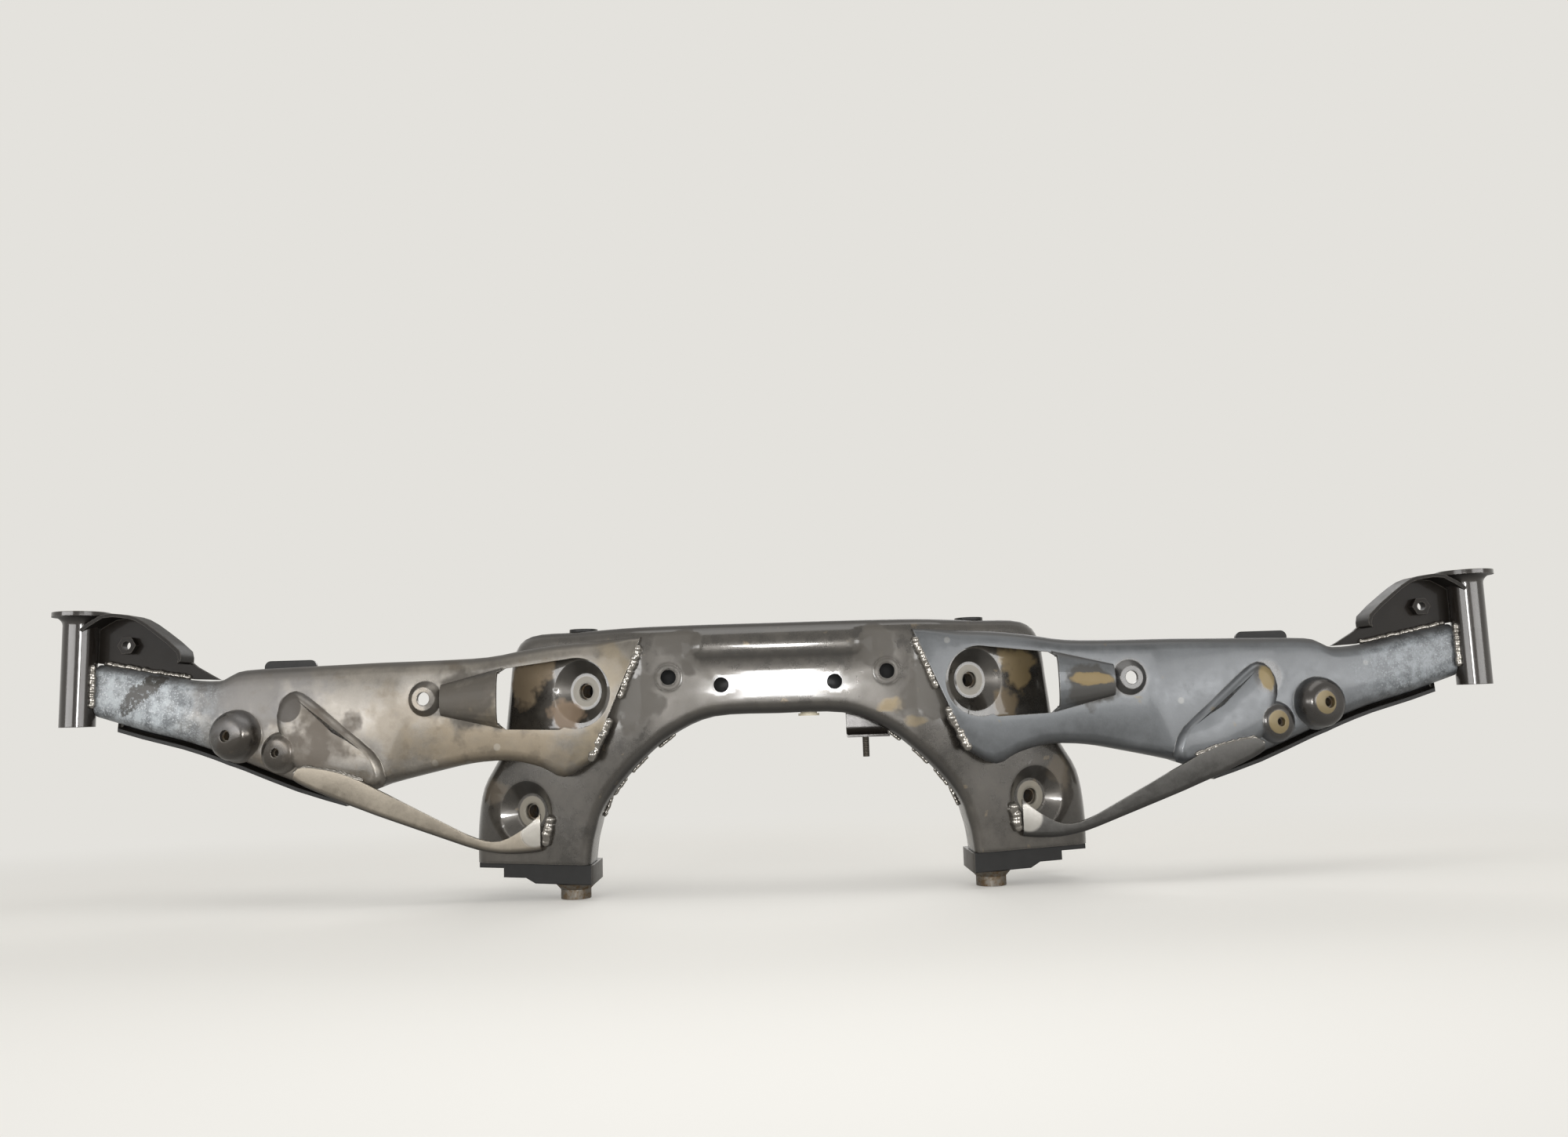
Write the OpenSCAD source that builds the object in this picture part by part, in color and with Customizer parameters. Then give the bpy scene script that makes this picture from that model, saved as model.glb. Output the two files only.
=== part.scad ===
// Welded steel subframe: a bowed centre box with an arch, two swept arms and two body bolt sleeves.
// X runs across, Y to the back, Z up. The origin lies midway between the sleeves, on their top faces.

/* [Sleeves] */
// Distance between the two sleeve axes
sleeve_spacing = 1116; // [1110:1:1122]
// Height of a sleeve with its flange
sleeve_h = 91; // [80:1:100]
// Outside diameter of a sleeve
sleeve_d = 26; // [24:0.5:28]
// Bore for the body bolt
sleeve_bore = 14.5; // [12:0.5:16]
// Diameter of the sleeve's top flange
flange_d = 42; // [38:1:46]
// Thickness of the flange rim
flange_t = 3.5; // [3:0.5:5]

/* [Sheet] */
// Thickness of the pressed panels
sheet = 3; // [2.5:0.25:3.5]
// Outer radius of the folds
fold_r = 9; // [7:0.5:10]
// Gap left between lapped sheets
lap_gap = 0.3; // [0.2:0.1:0.5]

/* [Centre box] */
// Distance from the sleeve axes forward to the centre face
face_ahead = 61; // [58:1:64]
// Depth of the box from the front face to the rear face
box_d = 64; // [58:1:70]
// Depth of the front panel's walls
front_wall = 40; // [36:1:44]
// Angle by which the link wings are bent back
wing_sweep = 24; // [22:1:26]
// Where the bend of the wings starts, from the middle
bend_from = 96; // [92:1:100]
// Length of the bend
bend_len = 28; // [24:1:32]

/* [Holes] */
// Diameter of the holes in the centre face
face_hole_d = 11.5; // [10:0.5:13]
// Distance of the inner face holes from the middle
face_hole_in = 42.5; // [40:0.5:45]
// Distance of the outer face holes from the middle
face_hole_out = 82; // [79:0.5:84]
// Clearance hole for a link bolt
link_hole_d = 12.5; // [11:0.5:13.5]
// Radius of a link seat's dish at its rim
dish_r = 24; // [22:0.5:25]
// Depth of a link seat's dish
dish_d = 8; // [6:0.5:9]

/* [Arms] */
// Angle by which the arm faces are swept back
arm_sweep = 8; // [7:0.5:9]
// Depth of the arm panel's walls near the centre
arm_wall = 24; // [22:1:26]
// Height of the large arm boss
large_boss_h = 13; // [11:0.5:14]
// Hole in the large arm boss
large_hole_d = 9; // [8:0.5:10]
// Height of the small arm boss
small_boss_h = 7; // [6:0.5:8]
// Hole in the small arm boss
small_hole_d = 7; // [6:0.5:8]
// Hole in the dimple beside the window
dimple_hole_d = 10; // [8:0.5:11]
// Height of the bulge beside the window
bulge_h = 10; // [8:0.5:11]
// Height of the three-sided pad under the bosses
pad_h = 6; // [5:0.5:7]

/* [Feet and small parts] */
// Diameter of a foot boss
foot_boss_d = 23; // [21:0.5:25]
// Thread core in a foot boss
foot_thread_d = 10.2; // [8.5:0.1:10.5]
// Height of a foot boss below the legs
foot_drop = 27; // [25:0.5:29]
// Diameter of the cable stud
stud_d = 5; // [4:0.5:6]
// Length of the cable stud below its bracket
stud_l = 15; // [12:1:18]

/* [Hidden] */
$fn = 48;

black_coat = "#4b4843";
arm_coat = "#77736c";
deep_black = "#2e2a26";
plain_steel = "#8e8c88";
cream = "#d8d2bd";

// Smooth curve through control points, given as vectors of any length
function spline_at(a, b, c, d, t) =
    0.5 * (2 * b + (c - a) * t + (2 * a - 5 * b + 4 * c - d) * t * t + (3 * b - a - 3 * c + d) * t * t * t);
function spline(p, n) = [
    for (i = [0 : len(p) - 2])
        for (k = [0 : n - 1])
            spline_at(p[max(i - 1, 0)], p[i], p[i + 1], p[min(i + 2, len(p) - 1)], k / n),
    p[len(p) - 1]
];
function unit(v) = v / norm(v);
function mirrored(r) = [for (i = [len(r) - 1 : -1 : 1]) [-r[i][0], r[i][1], -r[i][2], r[i][3]]];

// One closed section of a folded sheet, between a point on its upper and one on its lower edge.
// Folds turn from the face into walls. side is 1 for walls to the back and -1 for walls to the front.
function fold_outer(p, n, surf, side, r, wall, steps) = r == 0
    ? [[p[0], surf(p[0]), p[1]]]
    : concat([[p[0], surf(p[0]) + side * wall, p[1]]], [
        for (k = [steps : -1 : 0])
            let (a = 90 * k / steps, q = p + n * r * (1 - sin(a)))
            [q[0], surf(q[0]) + side * r * (1 - cos(a)), q[1]]
    ]);
function fold_inner(p, n, surf, side, r, wall, steps) = r == 0
    ? [[p[0], surf(p[0]) + side * sheet, p[1]]]
    : let (e = p + n * sheet) concat([[e[0], surf(e[0]) + side * wall, e[1]]], [
        for (k = [steps : -1 : 0])
            let (a = 90 * k / steps, q = p + n * (r - (r - sheet) * sin(a)))
            [q[0], surf(q[0]) + side * (r - (r - sheet) * cos(a)), q[1]]
    ]);
function reversed(v) = [for (i = [len(v) - 1 : -1 : 0]) v[i]];
function face_row(p, q, surf, off, m) = [
    for (k = [1 : 1 : m - 1]) let (w = p + (q - p) * k / m) [w[0], surf(w[0]) + off, w[1]]
];
function section(rung, surf, side, ra, wa, rb, wb, steps, m) =
    let (a = [rung[0], rung[1]], b = [rung[2], rung[3]], n = unit(b - a))
    concat(
        fold_outer(a, n, surf, side, ra, wa, steps),
        face_row(a + n * ra, b - n * rb, surf, 0, m),
        reversed(fold_outer(b, -n, surf, side, rb, wb, steps)),
        fold_inner(b, -n, surf, side, rb, wb, steps),
        face_row(b - n * rb, a + n * ra, surf, side * sheet, m),
        reversed(fold_inner(a, n, surf, side, ra, wa, steps))
    );

// Solid through a row of closed sections
module loft(s, flip = false) {
    m = len(s[0]);
    n = len(s);
    quads = [
        for (i = [0 : n - 2]) for (j = [0 : m - 1])
            let (a = i * m + j, b = i * m + (j + 1) % m, c = b + m, d = a + m)
            each [[a, b, c], [a, c, d]]
    ];
    caps = [[for (j = [m - 1 : -1 : 0]) j], [for (j = [0 : m - 1]) (n - 1) * m + j]];
    faces = concat(quads, caps);
    polyhedron(points = [for (l = s) each l], faces = flip ? [for (f = faces) reversed(f)] : faces);
}

// Plate or cutter that stands on the XZ plane and reaches from y0 to y1
module slab(y0, y1) {
    translate([0, y1, 0])
    rotate([90, 0, 0])
    linear_extrude(y1 - y0)
    children();
}

// Round post along Y, its face at y = 0 and its body to the back
module post(r, l) {
    rotate([-90, 0, 0])
    cylinder(r = r, h = l);
}

module hex_nut(flats, h, bore) {
    rotate([-90, 0, 0])
    difference() {
        cylinder(d = flats / cos(30), h = h, $fn = 6);
        translate([0, 0, -1])
        cylinder(d = bore, h = h + 2);
    }
}

module both(side) {
    mirror([side < 0 ? 1 : 0, 0, 0])
    children();
}

// Plan lines of the faces
bend_to = bend_from + bend_len;
function bow(x) = let (a = abs(x), k = tan(wing_sweep))
    a < bend_from ? 0 : a < bend_to ? k * pow(a - bend_from, 2) / (2 * bend_len) : k * (a - bend_from - bend_len / 2);
front_face = function(x) bow(x) - face_ahead;
rear_face = function(x) bow(x) - face_ahead + box_d;
arm_x0 = 104;
function arm_y(x) = -face_ahead - sheet - lap_gap + (x - arm_x0) * tan(arm_sweep);
arm_face = function(x) arm_y(x);
rear_arm_y0 = 24;
rear_arm_face = function(x) rear_arm_y0 - (x - 340) * 0.04;

// Edge pairs of the right half: upper x, upper z, lower x, lower z
centre_rungs = [
    [0, -28.5, 0, -97], [55, -28.5, 50, -98], [105, -29, 82, -111], [152, -30, 104, -128],
    [193, -31, 120, -144], [208, -45, 131, -158], [213, -80, 137, -169], [219, -119, 140, -179],
    [235, -148, 142.5, -188], [240, -178, 144, -197], [240, -206, 145, -206]
];
leg_z = -206;
// Large boss on the arm: distance from the middle and height
large_boss = [423, -101.5];
// The arm ends against the sleeve's side, and its part beyond the boss stretches with the sleeves
arm_end = (sleeve_spacing - sleeve_d) / 2 - lap_gap;
arm_waist = large_boss[0] + 22;
arm_stretch = (arm_end - arm_waist) / (544.7 - arm_waist);
function out_x(x) = x < arm_waist ? x : arm_waist + (x - arm_waist) * arm_stretch;
arm_rungs = [
    [102, -37, 143, -130], [135, -38.5, 163, -140], [165, -40, 181, -132], [192, -43, 206, -126.5],
    [222, -47.5, 236, -128], [262, -48.5, 265, -133.5], [305, -48.5, 303, -142], [340, -49, 335, -151],
    [375, -49.5, 375, -139], [419, -50.5, 419, -122], [431, -54, 432, -117.5], [442, -58, 445, -112.5],
    [out_x(470), -56, out_x(471), -104], [out_x(505), -49, out_x(506), -95], [arm_end - 0.7, -41.7, arm_end, -83.5]
];

// Link seats on the wings: distance from the middle and height
upper_seat = [151, -76];
lower_seat = [197, -167];
module at_seat(s) {
    translate([s[0], front_face(s[0]), s[1]])
    rotate([0, 0, wing_sweep])
    children();
}

dish_floor_r = 14;
module dish_outer() {
    rotate([-90, 0, 0])
    cylinder(r1 = dish_r + sheet * 0.6, r2 = dish_floor_r + sheet * 0.6, h = dish_d + sheet);
}
module dish_inner() {
    translate([0, -6, 0])
    rotate([-90, 0, 0])
    rotate_extrude()
    polygon([[0, 0], [dish_r + 2, 0], [dish_r + 2, 4], [dish_r, 6], [dish_floor_r, 6 + dish_d], [0, 6 + dish_d]]);
}

centre_half = spline(centre_rungs, 4);
centre_full = concat(mirrored(centre_half), centre_half);
function edge_wall(r) = r[1] > -40 ? front_wall : max(fold_r + 0.5, front_wall - (-40 - r[1]) * 2);

module centre_front_panel() {
    color(black_coat)
    difference() {
        union() {
            loft([for (r = centre_full)
                section(r, front_face, 1, fold_r, edge_wall(r), fold_r, front_wall, 4, 4)], true);
            for (side = [-1, 1])
                both(side)
                for (s = [upper_seat, lower_seat])
                    at_seat(s)
                    dish_outer();
            bead(bead_r, sheet / 2);
            for (side = [-1, 1])
                translate([side * face_hole_out, -face_ahead - 1.5, face_hole_z(face_hole_out)])
                post(10, sheet);
        }
        for (side = [-1, 1])
            both(side)
            for (s = [upper_seat, lower_seat])
                at_seat(s) {
                    dish_inner();
                    post(link_hole_d / 2, box_d / 2);
                }
        bead(bead_r - sheet, sheet + 0.2);
        for (side = [-1, 1])
            for (x = [face_hole_in, face_hole_out])
                translate([side * x, -face_ahead - 10, face_hole_z(x)])
                post(face_hole_d / 2, 30);
        translate([plug_x, plug_y, -110])
        cylinder(d = plug_d, h = 20);
    }
}

function face_hole_z(x) = x > (face_hole_in + face_hole_out) / 2 ? -68 : -74.7;
// Long bead pressed forward from the centre face, part of a round bar with ball ends
bead_z = -45.5;
bead_h = 3.4;
bead_half_w = 11;
bead_half_l = 66;
bead_r = (bead_half_w * bead_half_w + bead_h * bead_h) / (2 * bead_h);
module bead(r, depth) {
    intersection() {
        slab(-face_ahead - bead_h - 1, -face_ahead + depth)
        translate([-bead_half_l - bead_r, bead_z - bead_r])
        square([2 * (bead_half_l + bead_r), 2 * bead_r]);
        translate([0, bead_r - bead_h - face_ahead, bead_z]) {
            rotate([0, 90, 0])
            cylinder(r = r, h = 2 * (bead_half_l - bead_half_w), center = true);
            for (side = [-1, 1])
                translate([side * (bead_half_l - bead_half_w), 0, 0])
                sphere(r);
        }
    }
}

// The rear panel nests inside the front panel's walls
nest = sheet + lap_gap;
function nested(r) = let (a = [r[0], r[1]], b = [r[2], r[3]], n = unit(b - a))
    [a[0] + n[0] * nest, a[1] + n[1] * nest, b[0] - n[0] * nest, b[1] - n[1] * nest];
rear_half = [for (r = spline(centre_rungs, 3)) nested(r)];
rear_wall = box_d - front_wall + 16;
function rear_edge_wall(r) = r[1] > -44 ? rear_wall : max(fold_r + 0.5, rear_wall - (-44 - r[1]) * 2);

module centre_rear_panel() {
    color(black_coat)
    loft([for (r = concat(mirrored(rear_half), rear_half))
        section(r, rear_face, -1, fold_r, rear_edge_wall(r), fold_r, rear_wall, 3, 4)]);
}

// Distance along a wing's normal from the front face to the nut, which is welded behind the dish's floor
link_nut_y = dish_d + sheet + lap_gap;
module link_nut(side, s) {
    color(plain_steel)
    both(side)
    at_seat(s)
    translate([0, link_nut_y, 0])
    hex_nut(19, 10, 10.2);
}

// More arm features: distance from the middle and height
small_boss = [386, -115.5];
dimple = [270, -78];
window_c = [152.5, -77.5];
window_r = 26.5;
lip_x = 212;
boss_tilt = wing_sweep - arm_sweep;

module at_arm(p, tilt = 0) {
    translate([p[0], arm_y(p[0]), p[1]])
    rotate([0, 0, arm_sweep + tilt])
    children();
}
// Boss pressed forward from the arm face with a rounded shoulder, its top turned outward
function shoulder(r, top_r, h) = [for (k = [0 : 4]) let (a = 90 * k / 4)
    [top_r + (r - top_r) * cos(a), h * sin(a)]];
module boss(p, r, top_r, h) {
    at_arm(p, boss_tilt * 0.5)
    rotate([90, 0, 0])
    rotate_extrude()
    polygon(concat([[0, -4], [r + 1.5, -4]], shoulder(r, top_r, h), [[0, h]]));
}
module boss_hollow(p, r, top_r, h, d) {
    boss(p, r - sheet, top_r - sheet * 0.5, h - sheet);
    at_arm(p, boss_tilt * 0.5)
    translate([0, -h - 5, 0])
    post(d / 2, h + 10);
}

// Half-round bulge from the window's lip to the dimple
bulge_x1 = dimple[0] - 13;
function bulge_ring(x, grow) =
    let (t = (x - lip_x) / (bulge_x1 - lip_x), half = 22.5 - 10.5 * t - grow, h = bulge_h * (1 - 0.35 * t) - grow)
    [for (k = [0 : 10]) let (a = 180 * k / 10)
        [x, arm_y(x) - h * pow(sin(a), 0.7) + (k == 0 || k == 10 ? 1 + grow * 4 : 0),
            (window_c[1] - 2) + half * cos(a)]];
module bulge(grow) {
    x0 = lip_x - 3 - grow * 2;
    loft([for (x = [x0, bulge_x1 - 8, bulge_x1 - grow]) bulge_ring(x, grow)], true);
}

// Three-sided pad with a lobe at its top and a rounded rim
pad_outline = [[374, -69], [384, -74], [389, -87], [386, -102], [376, -124], [352, -140], [326, -147], [304, -143],
    [303, -131], [311, -117], [336, -97], [361, -76]];
pad_c = [352, -110];
function closed_curve(p, n) = let (m = len(p)) [for (i = [0 : m - 1]) for (k = [0 : n - 1])
    spline_at(p[(i + m - 1) % m], p[i], p[(i + 1) % m], p[(i + 2) % m], k / n)];
function along_arm(v) = [arm_x0 + (v[0] - arm_x0) / cos(arm_sweep), v[1]];
function pad_ring(inset, y) = [for (q = closed_curve(pad_outline, 2))
    let (v = along_arm(q + unit(pad_c - q) * inset)) [v[0], y, v[1]]];
module arm_pad(inset, back, h) {
    translate([arm_x0, arm_y(arm_x0), 0])
    rotate([0, 0, arm_sweep])
    translate([-arm_x0, 0, 0])
    loft([pad_ring(inset - 1, back), pad_ring(inset + 1, -h * 0.5), pad_ring(inset + 3.5, -h * 0.87),
        pad_ring(inset + 7, -h)], false);
}

module window_2d() {
    translate(window_c)
    circle(window_r);
    polygon([[153, -51], [207, -57], [lip_x, -60], [lip_x, -99], [207, -103], [165, -104.5], [140, -92]]);
}

// Walls reach back to the wing, at most as deep as the arm's own wall
function arm_walls(x) = let (own = x < 340 ? arm_wall : arm_wall - (x - 340) * (arm_wall - 13) / 200)
    min(own, front_face(x) - arm_y(x) - lap_gap - 0.15);
function arm_fold(x) = min(fold_r, arm_walls(x) - 0.05);
module arm_front_panel(side) {
    color(arm_coat)
    both(side)
    difference() {
        union() {
            loft([for (r = spline(arm_rungs, 3))
                section(r, arm_face, 1, arm_fold(r[0]), arm_walls(r[0]), arm_fold(r[2]), arm_walls(r[2]), 4, 1)], true);
            arm_pad(0, 1, pad_h);
            boss(large_boss, 20, 11, large_boss_h);
            boss(small_boss, 16, 9, small_boss_h);
            at_arm(dimple)
            translate([0, 1, 0])
            rotate([90, 0, 0])
            cylinder(r1 = 14.5, r2 = 9, h = 5);
            bulge(0);
        }
        arm_pad(sheet, 6, pad_h - sheet);
        boss_hollow(large_boss, 20, 11, large_boss_h, large_hole_d);
        boss_hollow(small_boss, 16, 9, small_boss_h, small_hole_d);
        at_arm(dimple) {
            translate([0, -10, 0])
            post(dimple_hole_d / 2, 30);
            translate([0, 4, 0])
            rotate([90, 0, 0])
            cylinder(r1 = 13, r2 = 7, h = 5);
        }
        bulge(sheet);
        slab(-face_ahead - 20, arm_y(lip_x) + fold_r)
        window_2d();
    }
}

module arm_nut(side, p, h, flats, height, bore) {
    color(plain_steel)
    both(side)
    at_arm(p, boss_tilt * 0.5)
    translate([0, sheet - h + 0.1, 0])
    hex_nut(flats, height, bore);
}

// Rear arm panel: closes the outer half of the arm, its lower wall below the front panel's
rear_arm_rungs = [
    for (r = spline([for (i = [7 : len(arm_rungs) - 1]) arm_rungs[i]], 2))
        if (r[0] < out_x(541)) [r[0], r[1] - nest - 0.1, r[2], r[3] - 7]
];
module arm_rear_panel(side) {
    color(black_coat)
    both(side)
    difference() {
        union() {
            loft([for (r = rear_arm_rungs)
                section(r, rear_arm_face, -1, 7, rear_arm_face(r[0]) - arm_y(r[0]) - 13,
                    7, rear_arm_face(r[2]) - arm_y(r[2]) - 8, 3, 1)]);
            tab();
        }
        translate([sleeve_spacing / 2, 0, -sleeve_h - 10])
        cylinder(d = sleeve_d + 2 * lap_gap, h = sleeve_h + 20);
    }
}
// Tab that stands up from the rear panel behind the arm's top edge
module tab() {
    slab(rear_arm_face(397) - sheet, rear_arm_face(397)) {
        translate([376, -58])
        square([42, 12]);
        translate([381, -50])
        square([32, 8]);
        for (x = [381, 413])
            translate([x, -47])
            circle(5);
    }
}

// Hood over the arm's outer end, from the arm's top wall up to the sleeve
hood_line = [[449, -56.5], [462, -49], [472, -42], [473, -33], [493, -16], [508, -6], [520, -3], [536, -3], [553, -14]];
hood_y = 8;
hood_flange = 20;
function hood_edge(first) =
    [for (q = spline([for (i = [first : len(hood_line) - 1]) hood_line[i]], 2)) [out_x(q[0]), q[1]]];
module hood_2d() {
    polygon(concat(hood_edge(0), [for (p = [[553, -39.4], [542, -41.2], [505, -48.4], [470, -55.4]]) [out_x(p[0]), p[1]]]));
}
module hood_rim_2d() {
    p = hood_edge(2);
    polygon(concat(p, reversed([for (q = p) q + unit([out_x(505), -60] - q) * sheet])));
}
module end_bracket(side) {
    color(deep_black)
    both(side)
    difference() {
        union() {
            slab(hood_y, hood_y + sheet)
            hood_2d();
            slab(hood_y - hood_flange, hood_y + sheet / 2)
            hood_rim_2d();
        }
        translate([sleeve_spacing / 2, 0, 0])
        sleeve_envelope(lap_gap);
        translate(concat(hood_nut[0], -20, hood_nut[1]))
        post(4.2, 60);
    }
}
hood_nut = [out_x(522), -27];
module end_nut(side) {
    color(plain_steel)
    both(side)
    translate([hood_nut[0], hood_y - 6.5, hood_nut[1]])
    hex_nut(13, 6.5, 6.8);
}

flare_r = 7;
function flare(grow) = [for (k = [0 : 6]) let (a = 15 * k)
    [sleeve_d / 2 + grow + flare_r * (1 - sin(a)), -flange_t - flare_r * (1 - cos(a))]];
module sleeve_envelope(grow) {
    rotate_extrude()
    polygon(concat([[0, grow], [flange_d / 2 + grow, grow], [flange_d / 2 + grow, -flange_t - grow]],
        flare(grow), [[sleeve_d / 2 + grow, -sleeve_h - grow], [0, -sleeve_h - grow]]));
}
module sleeve(side) {
    color(deep_black)
    both(side)
    translate([sleeve_spacing / 2, 0, 0])
    difference() {
        sleeve_envelope(0);
        translate([0, 0, -sleeve_h - 1])
        cylinder(d = sleeve_bore, h = sleeve_h + 2);
    }
}

// Strip from the arm face down to the leg, its lower edge turned back
brace_rungs = [
    [371, -131, 373, -137], [364, -127, 364, -142], [335, -132, 335, -154], [307, -144, 307, -164.5],
    [259, -170, 259, -183], [232, -184, 232, -193], [214, -187, 212, -197], [196, -178, 193, -197],
    [184, -168, 184, -196]
];
brace_join = min([for (q = pad_outline) q[0]]) + 2;
brace_lift = pad_h + sheet + lap_gap;
brace_fold = sheet + 2;
brace_end = brace_rungs[8][0];
brace_end_y = front_face(brace_end) - brace_fold - 2 * lap_gap;
// The tongue lies on the pad, the rest runs straight to the leg
function brace_y(x) = let (j = arm_y(brace_join) - brace_lift)
    x > brace_join ? arm_y(x) - brace_lift : j + (brace_end_y - j) * (brace_join - x) / (brace_join - brace_end);
brace_face = function(x) brace_y(x);
function brace_wall(x) = x > brace_join ? brace_fold + 0.1
    : max(brace_fold + 0.1, min(14, front_face(x) - brace_y(x) - lap_gap));
module lower_brace(side) {
    color(plain_steel)
    both(side)
    loft([for (r = spline(brace_rungs, 3))
        section(r, brace_face, 1, 0, 0, brace_fold, brace_wall(r[2]), 3, 1)]);
}

// Stepped bracket under a leg, drawn along the wing
foot_y0 = 4;
foot_inner = 143;
foot_y1 = 50;
function on_wing(x) = (x - bend_from - bend_len / 2) / cos(wing_sweep);
foot_flat = foot_inner + 49;
foot_edge = foot_inner + 3;
foot_steps = [
    [240, -207], [240, -210], [219, -210], [219, -217],
    [foot_flat + 8, -217], [foot_flat, -221], [foot_edge, -221], [foot_edge, -207]
];
module at_wing() {
    translate([bend_from + bend_len / 2, -face_ahead, 0])
    rotate([0, 0, wing_sweep])
    children();
}
foot_boss_at = [on_wing(foot_inner + 25), 20];
module foot_bracket(side) {
    color(black_coat)
    both(side)
    difference() {
        at_wing()
        difference() {
            slab(foot_y0, foot_y1)
            polygon([for (p = foot_steps) [on_wing(p[0]), p[1] + (p[1] < -206.5 && p[1] > -207.5 ? 0.7 : 0)]]);
            translate([on_wing(foot_inner + 23), foot_y0 + sheet, leg_z - 15 + sheet])
            cube([on_wing(foot_flat) - on_wing(foot_inner + 23), foot_y1 - foot_y0 - 2 * sheet, 20]);
            translate([foot_boss_at[0], foot_boss_at[1], -240])
            cylinder(d = foot_boss_d + 2 * lap_gap, h = 50);
        }
        translate([0, -100, leg_z - 40])
        cube([foot_inner, 200, 60]);
    }
}
module foot_boss(side) {
    color(plain_steel)
    both(side)
    at_wing()
    translate([foot_boss_at[0], foot_boss_at[1], 0])
    difference() {
        union() {
            translate([0, 0, leg_z - foot_drop])
            cylinder(d = foot_boss_d, h = foot_drop - 3);
            translate([0, 0, leg_z - 20.5])
            cylinder(r1 = foot_boss_d / 2 - 0.5, r2 = foot_boss_d / 2 + 4, h = 5);
        }
        translate([0, 0, leg_z - foot_drop - 1])
        cylinder(d = foot_thread_d, h = foot_drop + 5);
    }
}

// Curved bracket with a stud, hung under the arch to the right of the middle
cable_x = 52;
cable_w = 32;
cable_back = -22;
cable_foot_z = -117;
module under_arch() {
    p = [for (r = centre_half) if (r[2] < 130) [r[2], r[3]]];
    slab(-70, 30)
    polygon(concat(p, [[p[len(p) - 1][0], -150], [0, -150]]));
}
module cable_bracket() {
    color(deep_black)
    intersection() {
        translate([cable_x, 0, 0])
        rotate([90, 0, 90])
        linear_extrude(cable_w)
        difference() {
            union() {
                translate([cable_back - 8, cable_foot_z + 8])
                circle(8);
                translate([cable_back - 8, cable_foot_z + 8])
                square([8, 26]);
                translate([cable_back - 22, cable_foot_z])
                square([14, 8]);
            }
            translate([cable_back - 8, cable_foot_z + 8])
            circle(6);
            translate([cable_back - 14, cable_foot_z + 8])
            square([12, 30]);
            translate([cable_back - 24, cable_foot_z + 2])
            square([16, 12]);
        }
        under_arch();
    }
}
module cable_stud() {
    color(plain_steel)
    translate([cable_x + cable_w / 2 - 2, cable_back - 14, cable_foot_z - stud_l])
    cylinder(d = stud_d, h = stud_l);
}

plug_d = 13;
plug_x = 23;
plug_y = -37;
module arch_plug() {
    color(cream)
    translate([plug_x, plug_y, 0]) {
        translate([0, 0, -97.6 - 2])
        cylinder(d = plug_d + 3, h = 1.8);
        translate([0, 0, -98])
        cylinder(d = plug_d - 0.4, h = 4);
    }
}

pad_x = 151.5;
pad_y = -21;
module top_pad(side) {
    color(black_coat)
    both(side)
    translate([pad_x, pad_y, -29.7])
    cylinder(d = 22, h = 2.5);
}

centre_front_panel();
centre_rear_panel();
arm_front_panel(-1);  // left_arm_front_panel
arm_front_panel(1);  // right_arm_front_panel
arm_rear_panel(-1);  // left_arm_rear_panel
arm_rear_panel(1);  // right_arm_rear_panel
end_bracket(-1);  // left_end_bracket
end_bracket(1);  // right_end_bracket
end_nut(-1);  // left_end_nut
end_nut(1);  // right_end_nut
sleeve(-1);  // left_sleeve
sleeve(1);  // right_sleeve
lower_brace(-1);  // left_lower_brace
lower_brace(1);  // right_lower_brace
foot_bracket(-1);  // left_foot_bracket
foot_bracket(1);  // right_foot_bracket
foot_boss(-1);  // left_foot_boss
foot_boss(1);  // right_foot_boss
link_nut(-1, upper_seat);  // left_upper_link_nut
link_nut(1, upper_seat);  // right_upper_link_nut
link_nut(-1, lower_seat);  // left_lower_link_nut
link_nut(1, lower_seat);  // right_lower_link_nut
arm_nut(-1, large_boss, large_boss_h, 13, 8, 6.8);  // left_arm_large_nut
arm_nut(1, large_boss, large_boss_h, 13, 8, 6.8);  // right_arm_large_nut
arm_nut(-1, small_boss, small_boss_h, 10, 6, 5);  // left_arm_small_nut
arm_nut(1, small_boss, small_boss_h, 10, 6, 5);  // right_arm_small_nut
cable_bracket();
cable_stud();
arch_plug();
top_pad(-1);  // left_top_pad
top_pad(1);  // right_top_pad
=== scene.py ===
# %% [markdown]
# # Dressing a welded axle subframe
# The real object is a frame of pressed steel sheets, welded to each other and dipped in black paint. The
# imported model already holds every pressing, sleeve and nut at its real size. This lesson gives those
# pieces their used finish, and adds what a welder adds: the beads along the joints.

# %% Load the frame
import math
import random
from types import SimpleNamespace

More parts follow.
